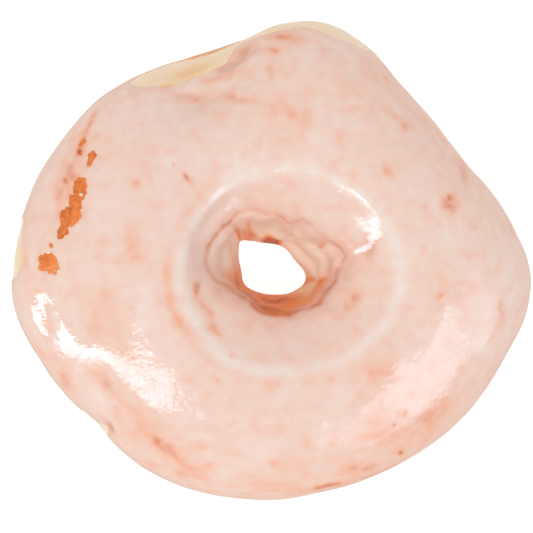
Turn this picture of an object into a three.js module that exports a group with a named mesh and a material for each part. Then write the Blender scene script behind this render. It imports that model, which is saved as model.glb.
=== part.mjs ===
// A yeast-raised ring doughnut, fried and glazed, as one solid.
//
// The ring is a loft. At each angle round the hole a closed section is drawn through a few stations:
// the throat of the hole, the rim where the top turns down into it, the crest of the top, the waist
// where the ring is widest, and the foot it rests on. Hand-shaped dough is uneven, so each of those
// lines has its own outline round the ring, and a few dents are then pressed into the skin.
//
// Millimetres, +Z up. The origin is on the table, under the middle of the outline.

import * as THREE from "three";
import { ParametricGeometry } from "three/addons/geometries/ParametricGeometry.js";

// ---- Heights above the table
const CREST_HEIGHT = 34;
const TOP_HEIGHT = 33;
const SHOULDER_HEIGHT = 29.7;
const SIDE_HEIGHT = 23.6;
const WAIST_HEIGHT = 14.6;
const HEEL_HEIGHT = 6.2;
const SOLE_HEIGHT = 0.8;
const BELOW_TABLE = -0.9; // stations of the foot, which is then cut off flat at the table
const INNER_SHOULDER_HEIGHT = 32;
const RIM_HEIGHT = 28.2;
const FUNNEL_HEIGHT = 20.5;
const THROAT_HEIGHT = 13.5;
const UNDERCUT_HEIGHT = 7.5;
const UNDERSIDE_HEIGHT = 2.2;

// ---- Outlines as [angle in degrees, radius], counter-clockwise from +X
const WAIST = [
  [0, 48.6],
  [10, 45.6],
  [20, 42.5],
  [30, 40.7],
  [42, 40.3],
  [56, 41.6],
  [68, 45.0],
  [78, 46.3],
  [89, 44.8],
  [98, 42.0],
  [110, 41.5],
  [125, 43.0],
  [137, 44.8],
  [150, 45.6],
  [170, 47.9],
  [190, 49.4],
  [203, 47.6],
  [224, 45.4],
  [240, 46.0],
  [260, 45.4],
  [282, 44.7],
  [300, 45.5],
  [318, 46.6],
  [335, 47.4],
  [350, 49.2],
];
const CREST = [
  [0, 23.5],
  [45, 22],
  [90, 17.5],
  [140, 19.5],
  [180, 17.5],
  [215, 19],
  [250, 21.5],
  [300, 22],
];
const RIM_CENTRE = new THREE.Vector2(0.8, -0.6);
const RIM = [
  [7, 13.3],
  [31, 11.0],
  [56, 10.1],
  [94, 9.4],
  [119, 11.4],
  [150, 12.0],
  [177, 13.2],
  [198, 11.6],
  [225, 9.2],
  [256, 9.5],
  [284, 10.4],
  [319, 11.3],
  [346, 12.4],
];
const THROAT_CENTRE = new THREE.Vector2(0.1, -1.5);
const THROAT = [
  [18, 4.4],
  [70, 4.6],
  [110, 5.2],
  [141, 7.4],
  [180, 5.9],
  [211, 6.1],
  [240, 5.3],
  [277, 5.0],
  [313, 5.9],
  [343, 6.5],
];

// ---- Dents pressed into the skin, each a soft hollow that fades out over its reach
// (along the outline, across it and up), pushed towards the core of the ring at the height `towards`.
const DENTS = [
  // the scoop in the shoulder, where the pale side shows from above
  { angle: 114, radius: 38, height: 27, reach: [9, 8, 8], depth: 4.4, towards: 24 },
  // the shallow finger mark on the opposite shoulder
  { angle: 194, radius: 38.5, height: 31, reach: [5.5, 4.5, 6], depth: 1.1, towards: 15 },
  // the fold low on the side
  { angle: 223, radius: 44, height: 20, reach: [3.6, 5, 7], depth: 1.2, towards: 15 },
];

const CORE_RADIUS = 27; // the middle of the dough, half way from the hole to the outline

// ---- How finely the ring is faceted
const STEPS_ROUND_HOLE = 104;
const STEPS_ROUND_SECTION = 46;

// Value at an angle, on a smooth closed curve through [degrees, value] knots.
function around(knots, degrees) {
  const count = knots.length;
  const turn = ((degrees % 360) + 360) % 360;
  let last = count - 1;
  for (let i = 0; i < count; i++) if (knots[i][0] <= turn) last = i;
  if (turn < knots[0][0]) last = count - 1;
  const knot = (i) => {
    const wraps = Math.floor(i / count);
    const [angle, value] = knots[i - wraps * count];
    return [angle + 360 * wraps, value];
  };
  const [before, from, to, after] = [-1, 0, 1, 2].map((k) => knot(last + k));
  const at = turn < from[0] ? turn + 360 : turn;
  const span = to[0] - from[0];
  const slopeFrom = (to[1] - before[1]) / (to[0] - before[0]);
  const slopeTo = (after[1] - from[1]) / (after[0] - from[0]);
  const t = (at - from[0]) / span;
  return (
    from[1] * (1 + 2 * t) * (1 - t) ** 2 +
    slopeFrom * span * t * (1 - t) ** 2 +
    to[1] * t * t * (3 - 2 * t) +
    slopeTo * span * t * t * (t - 1)
  );
}

function radial(degrees, radius, centre = new THREE.Vector2()) {
  const a = THREE.MathUtils.degToRad(degrees);
  return new THREE.Vector2(Math.cos(a), Math.sin(a)).multiplyScalar(radius).add(centre);
}

// The top rises and sinks a little round the ring.
function swell(degrees) {
  const a = THREE.MathUtils.degToRad(degrees);
  return 0.7 * Math.sin(2 * a + 0.6) + 0.5 * Math.sin(3 * a - 1.1);
}

// The closed section at one angle, as a curve through its stations.
function section(degrees) {
  const throat = radial(degrees, around(THROAT, degrees), THROAT_CENTRE);
  const rim = radial(degrees, around(RIM, degrees), RIM_CENTRE);
  const crest = radial(degrees, around(CREST, degrees));
  const waist = radial(degrees, around(WAIST, degrees));
  const lift = swell(degrees);
  const station = (from, to, share, height) => {
    const at = from.clone().lerp(to, share);
    return new THREE.Vector3(at.x, at.y, height);
  };
  return new THREE.CatmullRomCurve3(
    [
      station(crest, waist, 0, CREST_HEIGHT + lift),
      station(rim, crest, 0.5, INNER_SHOULDER_HEIGHT + lift),
      station(rim, waist, 0, RIM_HEIGHT + lift / 2),
      station(throat, rim, 0.42, FUNNEL_HEIGHT),
      station(throat, rim, 0, THROAT_HEIGHT),
      station(throat, rim, 0.35, UNDERCUT_HEIGHT),
      station(rim, waist, 0.05, UNDERSIDE_HEIGHT),
      station(rim, waist, 0.28, BELOW_TABLE),
      station(rim, waist, 0.5, BELOW_TABLE),
      station(rim, waist, 0.7, BELOW_TABLE / 2),
      station(rim, waist, 0.82, SOLE_HEIGHT),
      station(rim, waist, 0.95, HEEL_HEIGHT),
      station(rim, waist, 1, WAIST_HEIGHT),
      station(crest, waist, 0.93, SIDE_HEIGHT + lift / 2),
      station(crest, waist, 0.68, SHOULDER_HEIGHT + lift),
      station(crest, waist, 0.35, TOP_HEIGHT + lift),
    ],
    true,
    "centripetal",
  );
}

// Pushes a point of the skin at this angle round the ring in, by the dents it lies in.
function press(point, degrees) {
  const core = radial(degrees, CORE_RADIUS);
  for (const dent of DENTS) {
    const outward = radial(dent.angle, 1);
    const away = new THREE.Vector2(point.x, point.y).sub(radial(dent.angle, dent.radius));
    const [along, across, up] = dent.reach;
    const faded =
      (outward.cross(away) / along) ** 2 +
      (outward.dot(away) / across) ** 2 +
      ((point.z - dent.height) / up) ** 2;
    const inward = new THREE.Vector3(core.x, core.y, dent.towards).sub(point).normalize();
    point.addScaledVector(inward, dent.depth * Math.exp(-faded));
  }
}

// The skin of the ring: u runs round the hole, v round the section.
const sections = new Map();
function skin(u, v, target) {
  const step = Math.round(u * STEPS_ROUND_HOLE) % STEPS_ROUND_HOLE;
  const degrees = (360 * step) / STEPS_ROUND_HOLE;
  if (!sections.has(step)) sections.set(step, section(degrees));
  sections.get(step).getPoint(v % 1, target);
  press(target, degrees);
  target.z = Math.max(target.z, 0);
}

function doughnut() {
  const geometry = new ParametricGeometry(skin, STEPS_ROUND_HOLE, STEPS_ROUND_SECTION);
  geometry.computeBoundingBox();
  const middle = geometry.boundingBox.getCenter(new THREE.Vector3());
  geometry.translate(-middle.x, -middle.y, 0);
  const material = new THREE.MeshStandardMaterial({
    color: "#efcfbd",
    roughness: 0.25,
    metalness: 0,
  });
  const mesh = new THREE.Mesh(geometry, material);
  mesh.name = "doughnut";
  return mesh;
}

const group = new THREE.Group();
group.add(doughnut());
export default group;
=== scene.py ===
# %% [markdown]
# # A glazed ring doughnut
# A yeast doughnut is a ring of soft dough, fried on one side and then the other, and then run under a
# curtain of warm sugar glaze. So it is two things that we can see: a fried crust with a pale line round
# its waist, where the dough floated above the oil, and a thin, glossy, slightly see-through coat of sugar.
# We build exactly those two pieces, one on top of the other.
#
# The solid that carries the sizes was made first, in a CAD step.

import bpy
import numpy as np
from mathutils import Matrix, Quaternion, Vector, noise
from mathutils.bvhtree import BVHTree


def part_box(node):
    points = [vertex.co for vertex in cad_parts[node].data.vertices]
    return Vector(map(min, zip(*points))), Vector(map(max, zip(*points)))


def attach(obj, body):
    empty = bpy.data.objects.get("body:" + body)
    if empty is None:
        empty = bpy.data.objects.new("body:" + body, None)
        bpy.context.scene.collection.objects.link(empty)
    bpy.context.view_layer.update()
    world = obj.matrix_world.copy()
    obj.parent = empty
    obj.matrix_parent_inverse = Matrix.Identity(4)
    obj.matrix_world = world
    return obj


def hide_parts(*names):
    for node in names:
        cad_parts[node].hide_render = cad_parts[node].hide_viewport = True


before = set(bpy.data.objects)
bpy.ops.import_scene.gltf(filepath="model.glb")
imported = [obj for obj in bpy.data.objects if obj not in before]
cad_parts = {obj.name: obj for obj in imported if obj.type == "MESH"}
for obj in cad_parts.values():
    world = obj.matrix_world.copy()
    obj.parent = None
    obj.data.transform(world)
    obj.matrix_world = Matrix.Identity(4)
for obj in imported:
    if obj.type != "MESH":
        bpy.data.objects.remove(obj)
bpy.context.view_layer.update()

MM = 0.001  # shapes are worked out in millimetres, and Blender's unit here is the metre
low, high = (np.array(corner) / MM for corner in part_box("doughnut"))
size = high - low
print("the solid is", size.round(1), "mm")

# %% [markdown]
# ## The studio
# The doughnut is looked at from straight above, from far enough away that its sides hardly show. A long
# lens keeps the outline true: with a short one the top, being nearer, would swell over the sides.
#
# Two helpers come first because every material uses them. Colours are written the way a paint chip or a
# web page gives them, as hex, and a shader wants them as amounts of light, so one function converts
# them. The other adds one shader node, sets its properties and fills or links its inputs.

# %% Two helpers: colours and nodes
def colour(code):
    """A hex colour such as f3dfc4 as the linear RGBA that shaders work in."""
    parts = np.array([int(code[i : i + 2], 16) / 255 for i in (0, 2, 4)])
    linear = np.where(parts <= 0.04045, parts / 12.92, ((parts + 0.055) / 1.055) ** 2.4)
    return (*linear, 1.0)


def add(tree, kind, inputs=None, **settings):
    """Adds a shader node. An input given as another node's output is linked, and any other is set."""
    node = tree.nodes.new("ShaderNode" + kind)
    for name, value in settings.items():
        setattr(node, name, value)
    for name, value in (inputs or {}).items():
        if isinstance(value, bpy.types.NodeSocket):
            tree.links.new(value, node.inputs[name])
        else:
            node.inputs[name].default_value = value
    return node


print("the paint chip f4f2ef is", np.round(colour("f4f2ef")[:3], 2), "as amounts of light")

# %% The camera
CAMERA_HEIGHT = 0.65
CAMERA_ASIDE = (-0.0009, -0.0013)  # a stand set up by hand is never quite centred
MARGIN = 1.0335  # how much wider the view is than the doughnut
WAIST_HEIGHT = 0.42 * size[2]
FRAME_WIDTH = MARGIN * size[0] * MM  # what the view takes in at the height of the waist
FULL_FRAME = 36  # the sensor's width

scene = bpy.context.scene
scene.view_settings.view_transform = "Standard"
camera = bpy.data.objects.new("camera", bpy.data.cameras.new("camera"))
camera.data.sensor_width = FULL_FRAME
camera.data.lens = FULL_FRAME * (CAMERA_HEIGHT - WAIST_HEIGHT * MM) / FRAME_WIDTH
camera.location = (*CAMERA_ASIDE, CAMERA_HEIGHT)
scene.collection.objects.link(camera)
scene.camera = camera
print("lens", round(camera.data.lens), "mm")

# %% [markdown]
# Glossy food is lit softly from everywhere, so that nothing goes black, and then one or two windows or
# cards are placed only to be mirrored in its gloss. We do the same. The world is a pale tent. Two broad
# softboxes, one overhead and one in front, give form and reach down into the hole. Three glowing cards
# are seen by reflections alone, which is what turning off their diffuse ray visibility does, so they can
# be bright without burning out the sugar.

# %% The world, a pale tent
TENT, UNDER_TENT = "c8c6c4", "e2c8bb"  # pale cloth, and below the horizon a warmer floor
world = bpy.data.worlds.new("tent")
world.use_nodes = True
scene.world = world
tree = world.node_tree
place = add(tree, "TexCoord")
up = add(tree, "SeparateXYZ", {"Vector": place.outputs["Generated"]})
above = add(tree, "MapRange", {"Value": up.outputs["Z"], "From Min": -0.1, "From Max": 0.1})
halves = {"Factor": above.outputs["Result"], "A": colour(UNDER_TENT), "B": colour(TENT)}
tent = add(tree, "Mix", halves, data_type="RGBA")
tree.links.new(tent.outputs["Result"], tree.nodes["Background"].inputs["Color"])
print("tent of", TENT, "over", UNDER_TENT)


# %% Softboxes
def toward(azimuth, elevation):
    """The direction of a place in the doughnut's sky, in degrees. It is also a point 1 m away."""
    a, e = np.radians([azimuth, elevation])
    return Vector((np.cos(a) * np.cos(e), np.sin(a) * np.cos(e), np.sin(e)))


def span(degrees):
    """How long something 1 m away must be to fill that much of the sky."""
    return 2 * np.tan(np.radians(degrees) / 2)


def softbox(name, azimuth, elevation, wide, radiance, distance=3):
    """A square light that shapes the dough but leaves no mirror image in the gloss."""
    light = bpy.data.lights.new(name, "AREA")
    light.size = distance * span(wide)
    light.energy = radiance * np.pi * light.size**2
    lamp = bpy.data.objects.new(name, light)
    lamp.location = distance * toward(azimuth, elevation)
    lamp.rotation_euler = toward(azimuth, elevation).to_track_quat("Z", "Y").to_euler()
    lamp.visible_camera = False
    lamp.visible_glossy = False
    scene.collection.objects.link(lamp)
    print(name, "is", round(light.size, 1), "m wide and gives", round(light.energy), "W")


softbox("overhead", 250, 84, wide=64, radiance=0.595)
softbox("front", 238, 67, wide=50, radiance=1.1)

# %% Cards that only the gloss sees
DAYLIGHT = "dfecff"  # a window is bluer than the lamps


def card(name, azimuth, elevation, wide, tall, roll, radiance, fade, side=0.01, distance=1):
    """A glowing card seen only in gloss. It fills wide by tall degrees and fades in from its lower edge.
    `fade` and `side` are parts of its height and width: over `side` it goes from half to full glow."""
    bpy.ops.mesh.primitive_plane_add(size=1)
    panel = bpy.context.object
    panel.name = name
    direction = toward(azimuth, elevation)
    panel.scale = (distance * span(wide), distance * span(tall), 1)
    panel.location = distance * direction
    panel.rotation_mode = "QUATERNION"
    panel.rotation_quaternion = direction.to_track_quat("-Z", "Y") @ Quaternion((0, 0, 1), np.radians(roll))
    glow = bpy.data.materials.new(name)
    glow.use_nodes = True
    tree = glow.node_tree
    across = add(tree, "SeparateXYZ", {"Vector": add(tree, "TexCoord").outputs["Generated"]})
    rise = {"Value": across.outputs["Y"], "From Max": fade, "To Max": radiance}
    ramp = add(tree, "MapRange", rise, interpolation_type="SMOOTHSTEP")
    half_up = {"Value": across.outputs["X"], "From Max": side, "To Min": 0.5, "To Max": 1.0}
    dimmer = add(tree, "MapRange", half_up)
    both = {0: ramp.outputs["Result"], 1: dimmer.outputs["Result"]}
    strength = add(tree, "Math", both, operation="MULTIPLY")
    light = add(tree, "Emission", {"Color": colour(DAYLIGHT), "Strength": strength.outputs["Value"]})
    tree.links.new(light.outputs["Emission"], tree.nodes["Material Output"].inputs["Surface"])
    panel.data.materials.append(glow)
    panel.visible_camera = False
    panel.visible_diffuse = False
    panel.visible_shadow = False
    print(name, "fills", wide, "by", tall, "degrees of the sky")


card("window", 215.5, 30.3, wide=55, tall=15.5, roll=-64.5, radiance=12.4, fade=0.6, side=0.35)
card("bright_card", 319, 35, wide=21, tall=38, roll=0, radiance=4.8, fade=0.03, distance=0.95)
card("dim_card", 317, 31, wide=50, tall=34, roll=0, radiance=2.5, fade=0.03)

# %% [markdown]
# The doughnut rests on a light table: a pale sheet that glows a little, so that shadows stay soft and
# shallow. A plain plane does for it. Reflections leave it out, so the sides mirror a darker room instead,
# which keeps their edges clear.

# %% The table
TABLE_WIDTH, TABLE_GLOW = 12, 0.9
bpy.ops.mesh.primitive_plane_add(size=TABLE_WIDTH)
table = bpy.context.object
table.name = "table"
paper = bpy.data.materials.new("white_paper")
paper.use_nodes = True
sheet = paper.node_tree.nodes["Principled BSDF"]
sheet.inputs["Base Color"].default_value = colour("8c8b8a")
sheet.inputs["Roughness"].default_value = 0.9
sheet.inputs["Specular IOR Level"].default_value = 0.1
sheet.inputs["Emission Color"].default_value = colour("ffffff")
sheet.inputs["Emission Strength"].default_value = TABLE_GLOW
table.data.materials.append(paper)
table.visible_glossy = False
print("the table is", TABLE_WIDTH, "m wide")

# %% [markdown]
# ## Feel the solid
# The CAD solid has flat facets, which is right for a physics engine and wrong for a picture. Instead of
# subdividing it, we feel its skin the way a potter feels a pot: from a circle in the middle of the dough
# we shoot rays outward all round the section and all round the ring, and note how far each one goes.
# That gives a neat grid of distances. Averaging neighbours in it melts the facets away, and a grid is
# also handy for everything later: the crust and the glaze are both laid out on it.
#
# Two angles name each point: `turn` goes round the ring, and `lean` goes round the section, with 0
# outward at the waist, 90 straight up and 180 into the hole.

# %% Shoot the rays
RAYS_TURN, RAYS_LEAN = 512, 256
core_radius = 0.57 * (size[0] + size[1]) / 4  # half way from the hole to the outline
core_height = 0.45 * size[2]


def directions(turn, lean):
    """For each turn and lean, in radians: the core circle's point and the way out from it."""
    ray_turn, ray_lean = np.meshgrid(turn, lean, indexing="ij")
    away = np.stack([np.cos(ray_turn), np.sin(ray_turn), 0 * ray_turn], axis=-1)
    out = away * np.cos(ray_lean)[..., None]
    out[..., 2] = np.sin(ray_lean)
    core = core_radius * away
    core[..., 2] = core_height
    return core, out


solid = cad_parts["doughnut"].data
skin = BVHTree.FromPolygons([v.co for v in solid.vertices], [p.vertices for p in solid.polygons])
ray_turn = np.arange(RAYS_TURN) * 2 * np.pi / RAYS_TURN
ray_lean = np.arange(RAYS_LEAN) * 2 * np.pi / RAYS_LEAN
core, out = directions(ray_turn, ray_lean)
hits = [skin.ray_cast(a, b)[3] for a, b in zip((core * MM).reshape(-1, 3), out.reshape(-1, 3))]
reach = np.array(hits).reshape(RAYS_TURN, RAYS_LEAN) / MM
print("from the core the skin is", reach.min().round(1), "to", reach.max().round(1), "mm away")

# %% Smooth the distances and lay out the grid
LINES_TURN, LINES_LEAN = 456, 216
MELT_TURN, MELT_LEAN = np.radians([1.2, 3.0])  # about 1 mm each way, a third of a facet


def lines(count, closeness):
    """Angles round a full turn, set closer together where `closeness` is higher."""
    fine = np.linspace(0, 2 * np.pi, 4096, endpoint=False)
    share = np.cumsum(closeness(fine))
    share = (share - share[0]) / share[-1]
    return np.interp(np.arange(count) / count, share, fine)


def apart(a, b):
    """How far angle a is past angle b, from -pi to pi."""
    return (a - b + np.pi) % (2 * np.pi) - np.pi


def melt(to, rays, spread):
    """Weights that give each line of the grid the Gaussian mean of the rays near it."""
    weights = np.exp(-0.5 * (apart(to[:, None], rays[None, :]) / spread) ** 2)
    return weights / weights.sum(axis=1, keepdims=True)


def hump(angle, middle, spread):
    """1 at the middle angle, fading out over the spread, all in radians but given in degrees."""
    return np.exp(-((apart(angle, np.radians(middle)) / np.radians(spread)) ** 2))


# Lines crowd together over the bare patches of crust, whose outlines are the finest thing here.
turn = lines(LINES_TURN, lambda a: 1 + 1.7 * hump(a, 161, 20))
lean = lines(LINES_LEAN, lambda a: 1 + 0.9 * hump(a, 50, 30) + 0.3 * hump(a, 160, 40))
reach = melt(turn, ray_turn, MELT_TURN) @ reach @ melt(lean, ray_lean, MELT_LEAN).T
core, out = directions(turn, lean)
skin_points = core + out * reach[..., None]
print(LINES_TURN * LINES_LEAN, "points on the skin")


# %% [markdown]
# ## Relief
# Next come the things that a finger would find. Each is a height in millimetres over the grid, and they
# simply add up, pushed out along the surface's own direction. Places are given as a baker would point to
# them, by an angle round the ring and a distance from its middle, both as they look from above. There
# what is nearer looks a little larger, so `x_seen` and `y_seen` are worked out from the lens.

# %% Normals, noise and ramps
def outward(points):
    """Unit normals of the grid, from its neighbours in both directions."""
    along_turn = np.roll(points, -1, axis=0) - np.roll(points, 1, axis=0)
    along_lean = np.roll(points, -1, axis=1) - np.roll(points, 1, axis=1)
    normal = np.cross(along_turn, along_lean)
    return normal / np.linalg.norm(normal, axis=-1, keepdims=True)


def lumps(points, across, seed, detail=1):
    """Soft random hills and hollows, from about -1 to 1, each about `across` mm wide."""
    places = (points / across + 31.7 * seed).reshape(-1, 3).tolist()
    if detail == 1:
        values = [noise.noise(place) for place in places]
    else:
        values = [noise.fractal(place, 1.0, 2.0, detail) for place in places]
    return 1.6 * np.array(values).reshape(points.shape[:-1])


def smooth_step(value, start, end):
    """0 before the start, 1 after the end, and a smooth ramp between them."""
    t = np.clip((value - start) / (end - start), 0, 1)
    return t * t * (3 - 2 * t)


sample = lumps(skin_points[::8, ::8], 5, 0)
print("the noise runs from", sample.min().round(2), "to", sample.max().round(2))

# %% Where each point lies
x, y, z = np.moveaxis(skin_points, -1, 0)
radius = np.hypot(x, y)
degrees = np.degrees(turn)[:, None] + 0 * radius
lean_degrees = np.degrees(lean)[None, :] + 0 * radius
lean_degrees = np.where(lean_degrees > 270, lean_degrees - 360, lean_degrees)  # -90 to 270
facing_up = smooth_step(lean_degrees, 5, 30) * smooth_step(-lean_degrees, -200, -175)

lens_point = np.array(camera.location) / MM
nearer = (lens_point[2] - WAIST_HEIGHT) / (lens_point[2] - z)
x_seen = lens_point[0] + (x - lens_point[0]) * nearer
y_seen = lens_point[1] + (y - lens_point[1]) * nearer
radius_seen = np.hypot(x_seen, y_seen)
print("from above the ring is", radius_seen.max().round(1), "mm from middle to edge")


# %% Marks and dents
def oval(angle, distance, length, width, direction):
    """Where each point lies along and across an oval, as 0 in its middle and 1 at its rim. The oval's
    length runs along `direction`, in degrees from +X."""
    a, d = np.radians([angle, direction])
    dx, dy = x_seen - distance * np.cos(a), y_seen - distance * np.sin(a)
    return (dx * np.cos(d) + dy * np.sin(d)) / length, (dy * np.cos(d) - dx * np.sin(d)) / width


def mark(*place):
    """1 at a place on the top, fading over its length and width in mm."""
    along, across = oval(*place)
    return np.exp(-(along**2) - across**2) * facing_up


print("a mark 5 mm long covers", (mark(200, 35, 5, 5, 0) > 0.5).sum(), "points")

# %% [markdown]
# Soft dough keeps every touch. Furrows, ridges and dents are all soft ovals, long ones and short ones,
# listed one by one. A sculptor would push them in with a brush, but a list can be read, moved and mended.
# Fine noise goes over all of it, fainter on the smooth left shoulder.

# %% Folds and dents of the dough
# (angle, distance, length, width, direction, height): furrows are below zero and ridges above it.
FOLDS = [
    (112.5, 41.3, 8.0, 2.0, 22, -0.80),  # the scoop
    (114, 33.7, 5.0, 1.1, 176, -0.26),  # the crease behind the scoop
    (98, 30.5, 5.5, 0.9, 175, -0.18),
    (100.2, 37.9, 5.0, 0.9, 37, -0.90),  # the valley and the lip that fold over the scoop's end
    (96.5, 37.2, 5.0, 0.9, 38, 0.45),
    (113.5, 36.4, 1.6, 0.8, 20, 0.25),  # two small lobes of the scoop's lip
    (105.5, 36.3, 1.8, 0.8, 10, 0.25),
    (219, 42.6, 5.5, 1.5, 308, 0.45),  # the ridge and furrows at the lower left
    (218, 38.9, 3.5, 1.2, 285, -0.35),
    (228, 38.6, 7.5, 1.6, 317, -0.24),
    (226.3, 43.9, 2.0, 0.8, 298, -0.70),  # the notch where they reach the edge
    (213, 45.5, 3.5, 1.2, 315, -0.30),
    (5.6, 18.5, 3.2, 1.3, 90, -0.45),
    (24, 40.0, 3.5, 1.2, 110, -0.12),
    (0.5, 47.7, 1.5, 0.8, 95, 0.35),  # the corner on the right, a small lip and a groove
    (356.5, 48.3, 4.5, 0.8, 88, -0.35),
    (288, 44.6, 7.0, 0.5, 15, -0.12),
    (217.6, 28.2, 0.5, 0.5, 0, 0.30),  # air bubbles caught in the glaze
    (291.5, 29.1, 0.5, 0.5, 0, 0.30),
    (287.3, 32.5, 0.5, 0.5, 0, 0.25),
    (67.8, 39.7, 0.7, 0.5, 0, 0.25),
]
# Dents and wrinkles that bend only the surface and leave the crust's colour alone, listed the same way.
PRESSED = [
    (196.8, 32.2, 6.5, 3.0, 113, -0.90),  # two finger marks on the left, side by side,
    (195.8, 40.4, 5.0, 1.7, 103, 0.80),  # with a ridge between them
    (193.5, 44.5, 4.4, 1.6, 103, -0.80),
    (41.8, 24.1, 3.2, 0.9, 325, 0.40),  # small wrinkles above the hole's right side
    (31, 21.8, 3.5, 1.0, 310, 0.40),
    (27, 18.9, 3.0, 0.9, 300, -0.35),
]
folds = sum(height * mark(*place) for *place, height in FOLDS)
fold_relief = folds + sum(height * mark(*place) for *place, height in PRESSED)
fine_relief = 0.07 - 0.05 * hump(turn, 205, 40)[:, None]
soft_relief = 0.16 * lumps(skin_points, 11, 1) + fine_relief * lumps(skin_points, 4.5, 2)
print(len(FOLDS), "folds and", len(PRESSED), "dents, down to", fold_relief.min().round(2), "mm")

# %% [markdown]
# ## The puckered hole
# The dough round the hole was pulled and pinched when the ring was shaped. A thin crease runs round its
# rim, where the dough of the top rolls over, and the wall below it bulges between a few creases. The hole
# isn't round, so we measure from a middle of its own, and its rim is a list of distances from there.

# %% The rim of the hole
HOLE_MIDDLE = (0.0, -1.5)
RIM_CREASE = [  # (angle, distance), both seen from the hole's middle
    (9, 14.5), (13, 14.2), (31, 11.9), (45, 11.4), (58, 10.9), (68, 9.2), (84, 10.4), (96, 10.7),
    (113, 11.9), (122, 12.2), (135, 11.5), (143, 11.9), (151, 12.1), (172, 12.5), (177, 12.4),
    (193, 10.9), (202, 9.3), (218, 8.0), (234, 7.4), (261, 8.7), (277, 9.2), (290, 9.8), (305, 9.9),
    (322, 11.5), (335, 11.5), (348, 12.7), (355, 12.7),
]
DARK_SIDE = 262  # the angle of the wall painted darkest: browner crust, and painted shade where it faces away from the light
# (angle, spread, height): where the rim's crease is stronger, and where it nearly fades out
RIM_STRENGTHS = [(270, 95, 0.45), (138, 30, 0.4), (90, 22, -0.35), (180, 22, -0.35), (25, 45, -0.3)]
hole_x, hole_y = x_seen - HOLE_MIDDLE[0], y_seen - HOLE_MIDDLE[1]
hole_radius = np.hypot(hole_x, hole_y)
hole_angle = np.arctan2(hole_y, hole_x)
rim_angles, rim_distances = np.array(RIM_CREASE, float).T
rim_distance = np.interp(np.degrees(hole_angle) % 360, rim_angles, rim_distances, period=360)
past_rim = hole_radius - rim_distance + 0.2 * lumps(skin_points, 1.6, 3)
on_top = smooth_step(lean_degrees, 95, 110) * smooth_step(z, 16, 21)
in_hole = smooth_step(-past_rim, -0.4, 1.2) * smooth_step(lean_degrees, 100, 120)
dark_side = np.clip(np.cos(hole_angle - np.radians(DARK_SIDE)), 0, 1) ** 0.8
rim_dark = hump(hole_angle, 270, 95)
rim_strength = 0.58 + sum(height * hump(hole_angle, *place) for *place, height in RIM_STRENGTHS)
rim_strength = np.clip(rim_strength + 0.5 * lumps(skin_points, 3, 18), 0.1, 1)
rim_crease = np.exp(-((past_rim / (0.28 + 0.35 * rim_dark)) ** 2)) * on_top * rim_strength
print("the rim is", min(rim_distances), "to", max(rim_distances), "mm from the hole's middle")

# %% The wall of the hole
THROAT_HEIGHT = 13.5  # where the hole is narrowest
CREASES = [  # (angle, lowest height, highest height, half width, depth)
    (131, 14, 26, 0.6, 0.45),
    (119, 14, 24, 0.6, 0.4),
    (60, 20, 26, 0.5, 0.4),
    (347, 14, 23, 0.7, 0.5),
    (335, 20, 27, 0.6, 0.4),
    (279, 12, 20, 0.6, 0.15),
    (249, 12, 24, 0.6, 0.15),
]
CORNER = 141  # the angle of the sharp corner in the way through
wander = 0.1 * lumps(skin_points, 4, 17)


def wall_crease(angle, lowest, highest, half_width, depth):
    """How deep one crease cuts into the hole's wall, in mm."""
    across = apart(hole_angle + wander, np.radians(angle)) * hole_radius / half_width
    rise = smooth_step(z, lowest - 1.5, lowest + 1) * smooth_step(-z, -highest - 1, -highest + 1.5)
    return depth * np.exp(-(across**2)) * rise


def near_throat(spread):
    """1 at the height of the throat, fading over the spread in mm."""
    return np.exp(-(((z - THROAT_HEIGHT) / spread) ** 2))


creases = sum(wall_crease(*crease) for crease in CREASES) * in_hole
sunny = 0.5 + 0.5 * np.cos(hole_angle - np.radians(50))  # the top and right walls face the light, and bulge most
bulges = (0.35 + 0.3 * sunny) * lumps(skin_points, 3.8, 4)
# Bulges and creases stop short of the throat, so that the way through keeps its outline.
hole_relief = (in_hole * bulges - creases) * (1 - near_throat(3.5)) - 0.12 * rim_crease
corner = np.exp(-((apart(hole_angle, np.radians(CORNER)) * hole_radius / 0.8) ** 2))
hole_relief -= 1.1 * corner * near_throat(2.5) * smooth_step(lean_degrees, 120, 150)
print("creases cut up to", creases.max().round(2), "mm into the wall")

# %% [markdown]
# Now the reliefs add up. The inner slope at the upper left of the hole sinks a little, and the waist swells
# and hollows in a few places. Nothing may go below the table.

# %% The dough's surface
WAIST = [(110, 14, 0.35), (226, 6, 0.3), (300, 18, -0.35), (5, 6, -0.3)]  # (angle, spread, height)
SINK = 0.55
inner_slope = smooth_step(17.5 - hole_radius, 0, 3.5) * hump(turn, 150, 50)[:, None] * facing_up
relief = fold_relief + soft_relief + hole_relief - SINK * inner_slope * (1 - in_hole)
waist = np.exp(-((lean_degrees / 40) ** 2))
relief += waist * sum(height * hump(turn, *place)[:, None] for *place, height in WAIST)
dough_points = skin_points + outward(skin_points) * relief[..., None]
dough_points[..., 2] = np.maximum(dough_points[..., 2], 0)
print("relief runs from", relief.min().round(2), "to", relief.max().round(2), "mm")
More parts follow.
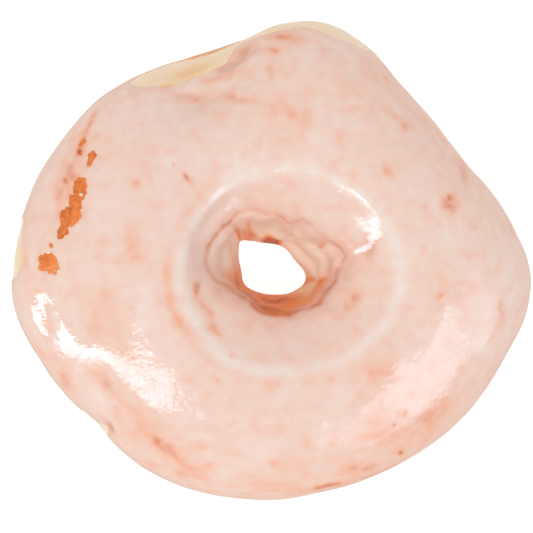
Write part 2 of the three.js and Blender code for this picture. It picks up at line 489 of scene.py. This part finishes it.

# %% [markdown]
# ## How the crust browned, and where shade is painted
# Frying browns what touches the oil. The top and the underside lay in it by turns, and the waist never
# did, so a pale band, the proof line, runs round the ring. The hole is narrow and stays mostly pale,
# except in its creases. `bake_and_shade` holds that as one number for each point, 0 for raw cream and 1
# for deep brown, and the material turns the number into a colour. Painted shade goes into the same number:
# in the hole's creases, on its dark side and in the arch, along the rim's crease, and in the scoop.

# %% The pale band
BAND = [  # where the pale band starts and ends, as leans in degrees: (angle, lower edge, upper edge)
    (20, -14, 16),
    (75, -24, 44),
    (88, -7, 40),
    (97, 2, 50),
    (104, 6, 60),
    (111, 3, 76),
    (120, -8, 66),
    (132, -18, 40),
    (155, -14, 22),
    (178, -24, 36),
    (200, -14, 22),
    (224, -24, 34),
    (250, -10, 16),
    (290, -20, 10),
    (320, -12, 16),
    (356, -14, 22),
]
turns, band_low, band_high = np.array(BAND, float).T
ragged = 3.5 * lumps(skin_points, 9, 5) + 2.0 * lumps(skin_points, 3, 6)
low_edge = np.interp(degrees, turns, band_low, period=360) + ragged
high_edge = np.interp(degrees, turns, band_high, period=360) + ragged
browned = 1 - smooth_step(lean_degrees, low_edge - 8, low_edge + 4)
browned += smooth_step(lean_degrees, high_edge - 4, high_edge + 9)
print("the band is", (high_edge - low_edge).mean().round(), "degrees wide on average")

# %% Browning and painted shade in the hole
WALL_SPOTS = [  # (angle, distance, length, width, direction, strength), all seen from above
    (88, 3.5, 1.9, 1.1, 350, 1.15),  # the arch above the opening, a painted shadow
    (16.5, 10.2, 0.9, 0.5, 45, 1.40),
    (123, 8.2, 2.6, 0.6, 98, 0.25),  # two orange pleats at the upper left, and what lies between them
    (138, 8.9, 2.6, 0.5, 108, 0.52),
    (135, 6.6, 1.9, 1.1, 0, 0.36),
    (192, 7.2, 7.0, 0.35, 282, 0.15),
    (327, 7.5, 1.6, 0.6, 20, 0.40),
    (338, 10.6, 1.2, 0.6, 50, 0.50),
    (50, 12.5, 1.5, 0.5, 20, 0.25),
]


def wall_spot(strength, *place):
    """A browned spot with a fairly sharp edge; the arch's spot is painted shade."""
    along, across = oval(*place)
    return strength * np.exp(-((along**2 + across**2) ** 2))


wall_spots = sum(wall_spot(strength, *place) for *place, strength in WALL_SPOTS)
throat_line = near_throat(2.0)
shaded = (1 - sunny) * (1 - dark_side)
# Painted shade on top of the browning: darker in the creases, on the dark side, in the arch and low on the
# shaded walls.
hole_bake_and_shade = 0.05 + 0.4 * creases + 0.76 * dark_side + wall_spots + 0.35 * throat_line * shaded
hole_bake_and_shade += 0.1 * lumps(skin_points, 2.5, 7)
print("the darkest of the hole bakes to", hole_bake_and_shade[in_hole > 0.5].max().round(2))

# %% All the browning and painted shade as one number
# A little toasting all over. The marks paint shade in the scoop and on the top window, and a darker orange
# line along the scoop's lower lip.
toasted_and_shaded = 0.07 + 0.18 * mark(112, 42, 12, 5, 25) + 0.08 * mark(80, 45, 10, 4, 0)
toasted_and_shaded += 0.22 * mark(113, 38.9, 4, 1.6, 20) + 0.3 * mark(121, 38.4, 1.2, 0.4, 5)
browned = np.maximum(browned, 1.04 * mark(180.5, 42.5, 4, 3, 100) ** 0.5)
bake_and_shade = (0.82 * browned + toasted_and_shaded) * (1 - in_hole) + np.clip(hole_bake_and_shade, 0, 1) * in_hole
# Painted shade along the rim's crease.
bake_and_shade += (0.35 + 0.4 * rim_dark) * rim_crease
bake_and_shade += 0.08 * lumps(skin_points, 6, 8, detail=3) * (0.3 + browned)
bake_and_shade = np.clip(bake_and_shade, 0, 1)
print("bake averages", bake_and_shade.mean().round(2))

# %% [markdown]
# A helper turns a grid into a mesh object. `foreach_set` hands Blender whole arrays at once, which is far
# quicker than adding vertices one by one. The numbers that the materials need, such as `bake_and_shade`, are stored
# as attributes, one value for each vertex, and a UV map lays the ring out as one flat sheet.

# %% From grid to object
def make_piece(name, points, faces, uvs, fields, material):
    """A mesh object from points in mm, faces as lists of point numbers, and UVs for each face corner."""
    mesh = bpy.data.meshes.new(name)
    mesh.from_pydata((points * MM).tolist(), [], faces)
    layer = mesh.uv_layers.new(name="OFBake")
    layer.uv.foreach_set("vector", np.asarray(uvs, np.float32).ravel())
    for field, values in fields.items():
        attribute = mesh.attributes.new(field, "FLOAT", "POINT")
        attribute.data.foreach_set("value", values.astype(np.float32))
    mesh.polygons.foreach_set("use_smooth", np.ones(len(mesh.polygons), bool))
    mesh.materials.append(material)
    mesh.validate()
    piece = bpy.data.objects.new(name, mesh)
    scene.collection.objects.link(piece)
    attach(piece, "root")
    print(name, "has", len(mesh.vertices), "vertices and", len(mesh.polygons), "faces")
    return piece


def quads(rows, columns):
    """The corners of grid cells, as (row, column) steps not yet wrapped round, outward side first."""
    i, j = (a.ravel() for a in np.meshgrid(rows, columns, indexing="ij"))
    corners = [(i, j), (i + 1, j), (i + 1, j + 1), (i, j + 1)]
    return np.stack([np.stack(corner) for corner in corners], -1)


# %% [markdown]
# ## Fried crust
# The real surface is wheat dough set in hot fat: a dry, thin, golden skin over bubbles, with a faint oily
# sheen. It reads as warm orange-brown with tiny bumps like orange peel where it browned, and as smooth,
# matt cream on the pale band. One ramp holds all its colours, from raw to deep brown, and it is kept in
# a function, because the glaze lets the same crust show through.
#
# IOR 1.45 is that of cooking oil. Crumb scatters light inside, so a little subsurface keeps it soft.

# %% Crust colours and pattern sizes
# The ramp also paints shade: a higher number gives a darker tone.
CRUST_TONES = [(0.0, "fdebd5"), (0.3, "f7d2a6"), (0.55, "eea768"), (0.8, "f58a3f"), (1.0, "b85a26")]


def crust_colour(tree, browning_and_shade):
    """The crust's colour ramp, driven by how far it browned, and by painted shade."""
    ramp = add(tree, "ValToRGB", {"Fac": browning_and_shade})
    tones = ramp.color_ramp.elements
    while len(tones) < len(CRUST_TONES):
        tones.new(1.0)
    for tone, (position, code) in zip(tones, CRUST_TONES):
        tone.position = position
        tone.color = colour(code)
    return ramp.outputs["Color"]


def scale_for(width):
    """The texture scale that makes a pattern about this many mm wide, to two figures."""
    return float(f"{1 / (width * MM):.2g}")


print("blisters 0.59 mm apart need a scale of", scale_for(0.59))

# %% Material: fried crust
BLISTER, SPECK = 0.59, 0.77  # mm; real blisters are nearer 0.3, which would be too fine to show
fried_crust = bpy.data.materials.new("fried_crust")
fried_crust.use_nodes = True
tree = fried_crust.node_tree
shader = tree.nodes["Principled BSDF"]
place = add(tree, "TexCoord")
baked_and_shade = add(tree, "Attribute", attribute_name="bake_and_shade")
on_skin = {"Vector": place.outputs["Object"]}
blisters = add(tree, "TexVoronoi", on_skin | {"Scale": scale_for(BLISTER)}, feature="SMOOTH_F1")
speckle = add(tree, "TexNoise", on_skin | {"Scale": scale_for(SPECK), "Detail": 4})
shift = add(tree, "MapRange", {"Value": speckle.outputs["Fac"], "To Min": 0.74, "To Max": 1.16})
browning_and_shade = add(tree, "Math", {0: baked_and_shade.outputs["Fac"], 1: shift.outputs["Result"]}, operation="MULTIPLY")
tree.links.new(crust_colour(tree, browning_and_shade.outputs["Value"]), shader.inputs["Base Color"])
# Cream crust is matt, and brown crust holds a film of oil.
roughness = add(tree, "MapRange", {"Value": browning_and_shade.outputs["Value"], "To Min": 0.62, "To Max": 0.3})
tree.links.new(roughness.outputs["Result"], shader.inputs["Roughness"])
rough_skin = add(tree, "MapRange", {"Value": browning_and_shade.outputs["Value"], "To Min": 0.05, "To Max": 0.65})
bumps = {"Height": blisters.outputs["Distance"], "Strength": rough_skin.outputs["Result"]}
peel = add(tree, "Bump", bumps | {"Distance": 0.3 * MM})
grains = {"Height": speckle.outputs["Fac"], "Normal": peel.outputs["Normal"]}
grain = add(tree, "Bump", grains | {"Strength": 0.15, "Distance": 0.2 * MM})
tree.links.new(grain.outputs["Normal"], shader.inputs["Normal"])
shader.inputs["IOR"].default_value = 1.45
shader.inputs["Subsurface Weight"].default_value = 0.25
shader.inputs["Subsurface Radius"].default_value = (1.0, 0.5, 0.25)  # red light goes deepest into crumb
shader.inputs["Subsurface Scale"].default_value = 1.5 * MM
print("fried crust has", len(tree.nodes), "nodes")

# %% [markdown]
# The dough is the whole grid, closed both ways round like an inner tube, and it carries `bake_and_shade`,
# the browning with painted shade.

# %% The dough
dough_cells = quads(np.arange(LINES_TURN), np.arange(LINES_LEAN))
numbers = (dough_cells[0] % LINES_TURN) * LINES_LEAN + dough_cells[1] % LINES_LEAN
grid_uv = np.stack([dough_cells[0] / LINES_TURN, dough_cells[1] / LINES_LEAN], -1)
dough = make_piece(
    "dough",
    dough_points.reshape(-1, 3),
    numbers.tolist(),
    grid_uv,
    {"bake_and_shade": bake_and_shade.ravel()},
    fried_crust,
)
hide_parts("doughnut")

# %% [markdown]
# ## Where the glaze lies
# The glaze ran down over the top and the sides and set. It missed a few places: windows at the waist,
# where the dough curls in under the top, and a chain of small bare patches on the left shoulder. Every
# point gets a signed distance to the nearest edge of the glaze, in millimetres, above zero where there is
# glaze. From that distance the edge gets its round lip, and beyond it the glaze dives into the dough and
# is gone, so its true outline is where the two surfaces cross.

# %% The lower edge of the glaze
STOP_IN_HOLE = 215  # the lean at which the glaze ends, below the throat
turns = np.array([0, 25, 48, 75, 100, 130, 160, 185, 205, 232, 262, 290, 318, 340], float)
drip_leans = np.array([-44, -36, -47, -40, -50, -38, -46, -36, -50, -41, -48, -40, -50, -38], float)
edge_lean = np.interp(degrees, turns, drip_leans, period=360) + 5 * lumps(skin_points, 7, 9, detail=2)
mm_per_degree = np.radians(reach)
above_bottom = (lean_degrees - edge_lean) * mm_per_degree
above_throat = (STOP_IN_HOLE + 6 * lumps(skin_points, 4, 10) - lean_degrees) * mm_per_degree
print("the glaze ends at leans of", edge_lean.min().round(), "to", edge_lean.max().round(), "degrees")

# %% The windows at the waist
# The windows: (angle, how far from the middle the glaze stops). Where there is none, it stops nowhere.
NO_WINDOW = 54
WINDOWS = [
    (59, NO_WINDOW), (61, 46.5), (63.1, 44.2), (67.3, 43.7), (73.7, 43.9), (76.4, 44.3), (81.6, 44.8),
    (84.6, 44.4), (87.7, 43.7), (92.4, 42.7), (97.8, 41.4), (100.4, 40.4), (103.3, 38.1),
    (107.5, 37.6), (109.2, 37.1), (111.7, 37.4), (117.1, 37.5), (121.4, 38.4), (123.4, 39.6),
    (125.9, 40.5), (128, 41.4), (128.7, 42.8), (130, NO_WINDOW), (169.5, NO_WINDOW), (170.8, 47.6),
    (176.1, 47.6), (179.5, 46.8), (182.2, 47.9), (184.5, 49), (185.5, NO_WINDOW),
    (217.5, NO_WINDOW), (218.8, 45.8), (222.8, 44.9), (224.7, 44.3), (225.9, 44.4), (227.1, 44.9),
    (228, NO_WINDOW),
]
turns, window_edges = np.array(WINDOWS, float).T
angle_seen = np.degrees(np.arctan2(y_seen, x_seen)) % 360
window_edge = np.interp(angle_seen, turns, window_edges)
steepness = 1 / np.clip(outward(dough_points)[..., 2], 0.3, 1)
below_edge = (radius_seen - window_edge) * steepness
# Below the waist each window closes in an arch: (angle of its middle, half its width), in degrees.
ARCHES = [(95.5, 35.5), (177.5, 8.5), (222.8, 5.6)]
LOWEST, CLIMB = -8, 26  # lean at the arch's lowest point, and how much higher its ends are
from_middle = np.min([abs(angle_seen - middle) / half for middle, half in ARCHES], axis=0)
window_bottom = LOWEST + CLIMB * np.clip(from_middle, 0, 1.1) ** 6
above_arch = (lean_degrees - window_bottom) * mm_per_degree
ROUNDING = 0.8  # mm, how softly the two edges meet at a window's ends
windows = -ROUNDING * np.logaddexp(-below_edge / ROUNDING, -above_arch / ROUNDING)
windows += (0.1 + 0.5 * smooth_step(-lean_degrees, -12, 4)) * lumps(skin_points, 2.6, 11)
print("the windows take", (100 * (windows > 0).mean()).round(1), "% of the grid")

# %% [markdown]
# The bare patches are a chain of small ovals whose edges noise makes ragged. A few flecks of glaze stay
# on them as islands. All the edges then join into one distance.

# %% The bare patches
# (angle, distance, half length, half width, direction of its length)
BARE = [
    (180.7, 43.4, 1.6, 0.95, 92),
    (180.9, 41.9, 2.1, 1.35, 114),
    (176.4, 41.9, 0.36, 0.3, 90),
    (172.0, 40.0, 1.6, 0.9, 58),
    (167.8, 39.1, 2.1, 1.8, 30),
    (163.7, 38.7, 1.6, 1.3, 100),
    (159.5, 38.8, 2.3, 1.2, 80),
    (149.8, 39.4, 0.8, 0.6, 30),
    (151.1, 39.3, 0.5, 0.45, 60),
    (152.2, 39.2, 0.62, 0.45, 65),
    (150.8, 41.6, 0.45, 0.4, 90),
    (147.9, 42.3, 0.8, 0.4, 65),
]
OUTSIDE = -9  # mm; a patch is only on the upper side
ragged_edge = 0.24 * lumps(skin_points, 0.9, 12, detail=3)
islands = smooth_step(lumps(skin_points, 1.3, 23), 0.75, 1.1)  # flecks of glaze left on the crust


def patch(*place):
    """How far inside a bare patch each point is, in mm."""
    depth = (1 - np.hypot(*oval(*place))) * min(place[2:4])
    return np.where(lean_degrees > 0, depth, OUTSIDE)


patches = np.max([patch(*place) for place in BARE], axis=0) + ragged_edge - islands
distance_in = np.min([above_bottom, above_throat, -windows, -patches], axis=0)
near_patch = smooth_step(patches, -2.5, 0)
print("glaze covers", (100 * (distance_in > 0).mean()).round(), "% of the grid")

# %% [markdown]
# Warm glaze flows before it sets. It thins out on the high spots, pools in furrows, gathers into a bead
# along its edges, most of all at the foot, and here it stopped in a low ridge that circles the hole.
# Thickness is geometry: about 0.3 mm on the top, and up to about 0.7 mm in the lowest drips.

# %% The ring in the glaze
RING_MIDDLE, RING_RADII = (3.6, -2.2), (21.0, 19.3)
ring_round = np.hypot((x_seen - RING_MIDDLE[0]) / RING_RADII[0], (y_seen - RING_MIDDLE[1]) / RING_RADII[1])
ring_offset = (ring_round - 1) * np.mean(RING_RADII) + 0.5 * lumps(skin_points, 12, 13)
ring_ridge = np.exp(-((ring_offset / 1.3) ** 2)) * facing_up
ring_height = ring_ridge * (0.1 + 0.25 * hump(turn, 150, 45)[:, None] + 0.05 * lumps(skin_points, 5, 19))
print("the ring stands up to", ring_height.max().round(2), "mm high")

# %% How thick the glaze is
LIP, LIP_AT_WINDOWS = 0.4, 1.2  # mm over which an edge rounds off
THINNEST, BURIED = 0.12, 0.45  # mm; past its edge the glaze dives that far into the dough
thickness = (0.3 - 0.2 * in_hole) + ring_height + 0.05 * lumps(skin_points, 7, 14) - 0.25 * fold_relief
near_window = smooth_step(windows, -2.5, -0.5)
low_on_side = smooth_step(-lean_degrees, -10, 40)
bead = 1 + 0.25 * np.exp(-(((distance_in - 0.6) / 0.7) ** 2))
bead *= (1 - 0.8 * near_patch) * (1 - 0.7 * near_window)
bead += 0.9 * low_on_side * np.exp(-(((distance_in - 0.9) / 0.9) ** 2))
lip_width = LIP + (LIP_AT_WINDOWS - LIP) * near_window
lip = np.sqrt(1 - (1 - np.clip(distance_in / lip_width, 0, 1)) ** 2)
coat = np.clip(thickness, THINNEST, None) * bead * lip
coat = np.where(distance_in > 0, coat, np.clip(distance_in, -BURIED, 0))
glaze_points = dough_points + outward(dough_points) * coat[..., None]
glaze_points[..., 2] = np.maximum(glaze_points[..., 2], 0)
print("the glaze is up to", coat.max().round(2), "mm thick")

# %% [markdown]
# ## How much the glaze hides
# Set glaze is milky: a thick coat hides the crust, and a thin one lets it blush through. `veil_and_shade`
# holds how much of the crust is hidden, from 0 for none to 1 for all, and `under` how brown the crust below
# is;
# both also carry painted shade. The veil starts from one even value, and thin spots, clouds, streaks,
# creases and the ring each add to it or take from it. In the hole the glaze ran thin, and the walls, most
# of all on the dark side, are painted darker as shade.

# %% Thin spots
# (angle, distance, half length, half width, direction, strength): spots where the crust shows through.
THIN_SPOTS = [
    (174, 26.3, 3.2, 1.5, 90, 0.22),
    (151, 29.6, 1.2, 1.1, 0, 0.20),
    (136, 22.2, 1.6, 0.6, 315, 0.34),
    (136, 25.7, 0.3, 0.3, 0, 0.30),
    (159, 41.6, 0.5, 0.5, 0, 0.15),
    (116, 33.8, 3.0, 1.1, 178, 0.20),
    (102, 31.4, 4.5, 0.8, 170, 0.11),
    (101, 35.9, 3.0, 0.8, 20, 0.14),
    (89, 39.5, 1.4, 0.7, 170, 0.25),
    (90, 35.3, 1.4, 0.8, 100, 0.18),
    (81, 27.7, 1.1, 0.9, 120, 0.20),
    (79, 32.3, 1.4, 0.9, 0, 0.10),
    (66, 34.2, 1.5, 1.1, 0, 0.08),
    (45, 35.4, 1.0, 0.8, 160, 0.30),
    (50, 35.6, 2.6, 0.9, 150, 0.12),
    (37, 27.7, 2.0, 0.9, 118, 0.20),
    (17, 35.4, 1.8, 1.3, 80, 0.32),
    (19, 35.8, 1.0, 0.9, 60, 0.20),
    (24, 39.9, 2.6, 0.7, 98, 0.20),
    (19, 31.0, 0.9, 0.7, 90, 0.14),
    (9, 38.7, 1.0, 0.8, 90, 0.14),
    (4, 29.0, 1.0, 0.8, 80, 0.14),
    (8, 19.3, 1.7, 1.1, 90, 0.22),
    (348, 32.7, 1.0, 0.8, 45, 0.28),
    (340, 26.9, 1.4, 1.0, 0, 0.12),
    (336, 17.8, 1.2, 0.9, 60, 0.18),
    (329, 17.0, 2.2, 1.2, 60, 0.14),
    (312, 29.0, 3.0, 2.2, 20, 0.16),
    (297, 25.4, 1.2, 0.9, 0, 0.14),
    (315, 42.9, 8.0, 2.4, 42, 0.11),
    (304, 39.5, 5.0, 2.4, 25, 0.12),
    (271, 38.7, 1.2, 1.0, 0, 0.14),
    (201, 15.3, 1.9, 0.7, 85, 0.32),
    (218, 15.6, 3.6, 0.8, 300, 0.24),
    (231, 17.4, 2.2, 0.8, 315, 0.22),
    (248, 19.8, 1.5, 0.5, 350, 0.18),
    (246, 25.1, 1.8, 0.6, 320, 0.18),
    (217, 39.8, 1.2, 0.9, 300, 0.07),
    (210.6, 45.6, 2.4, 1.2, 290, 0.20),
    # painted shade in the notch at the edge
    (226.4, 44.0, 1.3, 0.5, 298, 0.40),
    (281.4, 44.2, 1.1, 0.6, 12, 0.35),
    (284.6, 44.3, 1.8, 0.6, 10, 0.55),
    (287.5, 44.8, 1.4, 0.4, 15, 0.30),
    (276.5, 44.3, 2.5, 0.8, 5, 0.20),
    (295.7, 45.2, 3.5, 0.4, 20, 0.50),
    (299.7, 45.6, 1.2, 0.45, 25, 0.55),
    (293, 43.0, 3.5, 1.2, 18, 0.18),
    (237.8, 40.9, 2.0, 0.8, 318, 0.16),
    (86.5, 42.2, 4.0, 0.9, 172, 0.28),
    (97, 40.5, 2.5, 0.8, 40, 0.16),
    # the next two darken the fold at the scoop's lip, as painted shade
    (109, 36.0, 2.5, 0.6, 12, 0.16),
    (103.5, 38.0, 3.5, 0.6, 42, 0.12),
    (347.5, 44.5, 2.5, 1.0, 80, 0.22),
    (243, 41.0, 7.0, 1.2, 318, 0.18),
    (253, 40.7, 0.9, 0.7, 0, 0.16),
    (160, 41.3, 5.5, 1.6, 76, 0.22),  # the worn strip beside the bare patches
    (142.6, 42.9, 1.9, 0.5, 60, 0.35),
    (311.1, 38.6, 0.7, 0.35, 75, 0.35),
    (306.8, 39.0, 0.4, 0.35, 0, 0.30),
    (303.8, 44.1, 0.5, 0.45, 0, 0.60),
    (328.1, 19.8, 0.4, 0.4, 0, 0.20),
    (329.3, 27.0, 0.4, 0.4, 0, 0.20),
    (150, 41.8, 2.5, 0.9, 80, 0.25),
]
spots = sum(strength * mark(*place) for *place, strength in THIN_SPOTS)
spots *= 1 + 0.45 * lumps(skin_points, 1.2, 21)
print(len(THIN_SPOTS), "thin spots")

# %% Clouds and streaks
# The streaks ran down the side, so their noise is stretched: slow down the side and quick round the ring.
round_ring = np.stack([7 * np.cos(turn), 7 * np.sin(turn)], -1)[:, None] + 0 * reach[..., None]
down_side = reach * np.radians(lean_degrees) / 1.6
streaks = lumps(np.concatenate([round_ring, down_side[..., None]], -1), 1, 20, detail=2)
mottle = lumps(skin_points, 3.2, 15, detail=2)
fine_mottle = lumps(skin_points, 1.7, 22, detail=3)
upper_side = 1 + 0.3 * hump(turn, 80, 60)[:, None]
veil_and_shade = 0.65 + 0.05 * lumps(skin_points, 9, 16) - 0.09 * upper_side * np.clip(mottle - 0.1, 0, 1)
veil_and_shade += 0.025 * upper_side * fine_mottle + 0.035 * streaks * smooth_step(radius, 30, 38)
print("clouds make the veil", veil_and_shade.min().round(2), "to", veil_and_shade.max().round(2))

# %% The veil on the top and the sides
ring_shadow = np.exp(-(((ring_offset - 2.3) / 0.9) ** 2)) * facing_up  # painted shadow just outside the ring's ridge
left_side = np.clip(np.cos(hole_angle - np.radians(192)), 0, 1) ** 1.5
left_side *= 1 + 0.6 * lumps(skin_points, 3, 24)
veil_and_shade -= 0.2 * ring_shadow * left_side
veil_and_shade += (0.12 + 0.05 * hump(turn, 20, 60)[:, None]) * ring_ridge
# Painted shade and light on the folds: the furrows show more crust, the ridges less.
veil_and_shade += 0.16 * np.clip(fold_relief, -0.8, 0.3)
veil_and_shade -= 1.15 * spots
middle = smooth_step(radius_seen, 18, 24)
outer = smooth_step(radius_seen, 33, 41)
# Painted shade: the outer band, where the sides get less light, is darker, except on the right and partly
# on the left.
veil_and_shade -= 0.045 * outer * (1 - hump(turn, 0, 35) - 0.7 * hump(turn, 182, 18))[:, None]
veil_and_shade -= 0.045 * (middle - outer) * hump(turn, 80, 45)[:, None]
veil_and_shade -= 0.04 * hump(turn, 300, 70)[:, None]
# A painted glint: the right edge is lighter.
veil_and_shade += 0.06 * smooth_step(radius_seen, 42, 46) * hump(turn, 355, 18)[:, None]
print("with spots and folds it is", veil_and_shade.min().round(2), "to", veil_and_shade.max().round(2))

# %% The veil round the rim and in the hole
rim_shade = np.exp(-(((past_rim - 1.2) / 2.5) ** 2))
rim_shade *= hump(hole_angle, 340, 60) + hump(hole_angle, 225, 35)
# Painted shade: the rim's crease is darker, and so is the band round the rim.
veil_and_shade -= (0.28 + 0.3 * rim_dark) * rim_crease + 0.09 * rim_shade
veil_and_shade += 0.1 * np.exp(-((past_rim / 3) ** 2)) * hump(hole_angle, 180, 25)
wall = (lean_degrees > 90) & (lean_degrees < 230)
throat_radius = np.min(np.where(wall, hole_radius, 99), axis=1)[:, None]
wall_depth = 0.75 - 0.5 * dark_side  # how much of the way down the glaze fades out
below_rim = smooth_step(-past_rim / np.maximum(rim_distance - throat_radius, 1) / wall_depth, 0, 1)
# Down the wall the glaze fades. On the dark side, in the arch and near the throat the crust showing through
# is painted shade.
veil_and_shade -= in_hole * below_rim * (0.3 * sunny + 0.8 * dark_side + 0.6 * wall_spots + 0.3 * throat_line)
veil_and_shade *= smooth_step(distance_in, -0.1, 0.9) * 0.15 + 0.85  # the thin lip of every edge hides less
veil_and_shade = np.clip(veil_and_shade, 0.05, 0.9)
print("the veil averages", veil_and_shade.mean().round(2))

# %% The crust under the glaze, with painted shade
# The rim's crease and the band round it are painted browner, as shade.
crust_under_and_shade = 0.73 + 0.45 * spots + 0.15 * rim_crease + 0.12 * rim_shade
# The crust is browner with the mottle, and painted browner in the furrows, as shade.
crust_under_and_shade += 0.05 * np.clip(mottle, -0.3, 1) - 0.25 * np.clip(folds, -0.8, 0)
crust_under_and_shade = np.clip(crust_under_and_shade, 0, 0.9)
# Walls that face away from the light are painted browner, as shade.
wall_under_and_shade = np.clip(bake_and_shade + 0.35 * shaded, 0, 1)
under = crust_under_and_shade + (wall_under_and_shade - crust_under_and_shade) * in_hole * below_rim
print("under the glaze the crust bakes to", under.mean().round(2), "on average")

# %% [markdown]
# ## Sugar glaze
# The real finish is icing sugar melted into milk or water, poured on warm and left to set: a thin skin of
# fine sugar crystals in syrup. It looks glossy and wet, slightly cloudy, and pinkish where the brown crust
# blushes through the white. So its colour is a mix of the crust's ramp and a warm white, by `veil_and_shade`.
#
# IOR 1.49 is that of dry sugar syrup. Inside the hole the glaze dried dull, which `matt` says.

# %% Material: sugar glaze
ICING = "f4f2ef"
CLOUD, RIPPLE = 2.4, 1.11  # mm
sugar_glaze = bpy.data.materials.new("sugar_glaze")
sugar_glaze.use_nodes = True
tree = sugar_glaze.node_tree
shader = tree.nodes["Principled BSDF"]
place = add(tree, "TexCoord")
on_skin = {"Vector": place.outputs["Object"]}
baked_and_shade = add(tree, "Attribute", attribute_name="bake_and_shade")
veiled_and_shade = add(tree, "Attribute", attribute_name="veil_and_shade")
cloud = add(tree, "TexNoise", on_skin | {"Scale": scale_for(CLOUD), "Detail": 5})
shift = add(tree, "MapRange", {"Value": cloud.outputs["Fac"], "To Min": -0.12, "To Max": 0.12})
milky = {0: veiled_and_shade.outputs["Fac"], 1: shift.outputs["Result"]}
cover = add(tree, "Math", milky, operation="ADD", use_clamp=True)
crust = crust_colour(tree, baked_and_shade.outputs["Fac"])
layers = {"Factor": cover.outputs["Value"], "A": crust, "B": colour(ICING)}
mixed = add(tree, "Mix", layers, data_type="RGBA")
tree.links.new(mixed.outputs["Result"], shader.inputs["Base Color"])
# Faint ripples break up the edges of what the gloss mirrors.
ripple = add(tree, "TexNoise", on_skin | {"Scale": scale_for(RIPPLE), "Detail": 3})
waves = add(tree, "Bump", {"Height": ripple.outputs["Fac"], "Strength": 0.28, "Distance": 0.2 * MM})
tree.links.new(waves.outputs["Normal"], shader.inputs["Normal"])
dried = add(tree, "Attribute", attribute_name="matt")
smear = add(tree, "MapRange", {"Value": cloud.outputs["Fac"], "To Min": 0.02, "To Max": 0.1})
dulled = {0: dried.outputs["Fac"], 1: 0.42, 2: smear.outputs["Result"]}
roughness = add(tree, "Math", dulled, operation="MULTIPLY_ADD")
tree.links.new(roughness.outputs["Value"], shader.inputs["Roughness"])
shader.inputs["IOR"].default_value = 1.49
print("sugar glaze has", len(tree.nodes), "nodes")

# %% [markdown]
# ## The glaze as a thin closed shell
# The outer sheet is what we see. The inner sheet lies buried in the dough and can be coarser, so it uses
# every second line of the grid. Only blocks of 2 by 2 cells that hold some glaze are kept, and a wall
# joins the two sheets along the border of what is kept, out of sight inside the dough.

# %% Blocks of the grid that hold glaze
DEEPEST = -0.35  # mm; a block stays if any part of it is less buried than this
block_turns, block_leans = LINES_TURN // 2, LINES_LEAN // 2
highest = np.max([np.roll(coat, (-a, -b), (0, 1))[::2, ::2] for a in range(3) for b in range(3)], axis=0)
kept = highest > DEEPEST
for _ in range(4):  # blocks that touch only at a corner would pinch the shell there
    across = np.roll(kept, (-1, -1), (0, 1))
    kept |= np.roll(kept, -1, 0) & np.roll(kept, -1, 1) & ~across
    corner = kept & across & ~np.roll(kept, -1, 0) & ~np.roll(kept, -1, 1)
    kept |= np.roll(corner, 1, 0)
print("glaze lies in", kept.sum(), "of", kept.size, "blocks")

# %% The two sheets and the wall between them
inner_points = dough_points - outward(dough_points) * (BURIED + 0.15)
inner_points[..., 2] = np.maximum(inner_points[..., 2], 0.05)
shell_points = np.concatenate([glaze_points.reshape(-1, 3), inner_points.reshape(-1, 3)])
count = LINES_TURN * LINES_LEAN
shell_faces, shell_uvs = [], []


def shell_face(corners):
    """Adds a face from (row, column, is it on the inner sheet) corners."""
    shell_faces.append(
        [(i % LINES_TURN) * LINES_LEAN + j % LINES_LEAN + inner * count for i, j, inner in corners]
    )
    shell_uvs.extend([(i / LINES_TURN, j / LINES_LEAN) for i, j, inner in corners])


for row, column in np.argwhere(kept).tolist():
    i, j = 2 * row, 2 * column
    for a, b in ((i, j), (i + 1, j), (i + 1, j + 1), (i, j + 1)):
        shell_face([(a, b, 0), (a + 1, b, 0), (a + 1, b + 1, 0), (a, b + 1, 0)])
    shell_face([(i, j, 1), (i, j + 2, 1), (i + 2, j + 2, 1), (i + 2, j, 1)])
    if not kept[(row + 1) % block_turns, column]:
        shell_face([(i + 2, j + 2, 0), (i + 2, j + 1, 0), (i + 2, j, 0), (i + 2, j, 1), (i + 2, j + 2, 1)])
    if not kept[row - 1, column]:
        shell_face([(i, j, 0), (i, j + 1, 0), (i, j + 2, 0), (i, j + 2, 1), (i, j, 1)])
    if not kept[row, (column + 1) % block_leans]:
        shell_face([(i, j + 2, 0), (i + 1, j + 2, 0), (i + 2, j + 2, 0), (i + 2, j + 2, 1), (i, j + 2, 1)])
    if not kept[row, column - 1]:
        shell_face([(i + 2, j, 0), (i + 1, j, 0), (i, j, 0), (i, j, 1), (i + 2, j, 1)])
print("the shell has", len(shell_faces), "faces")

# %% The glaze
used, flat = np.unique(np.concatenate([np.array(f) for f in shell_faces]), return_inverse=True)
cuts = np.cumsum([len(f) for f in shell_faces])[:-1]
glaze_fields = {"bake_and_shade": under, "veil_and_shade": veil_and_shade, "matt": in_hole}
glaze = make_piece(
    "glaze",
    shell_points[used],
    [f.tolist() for f in np.split(flat, cuts)],
    shell_uvs,
    {field: np.tile(values.ravel(), 2)[used] for field, values in glaze_fields.items()},
    sugar_glaze,
)
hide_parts("doughnut")
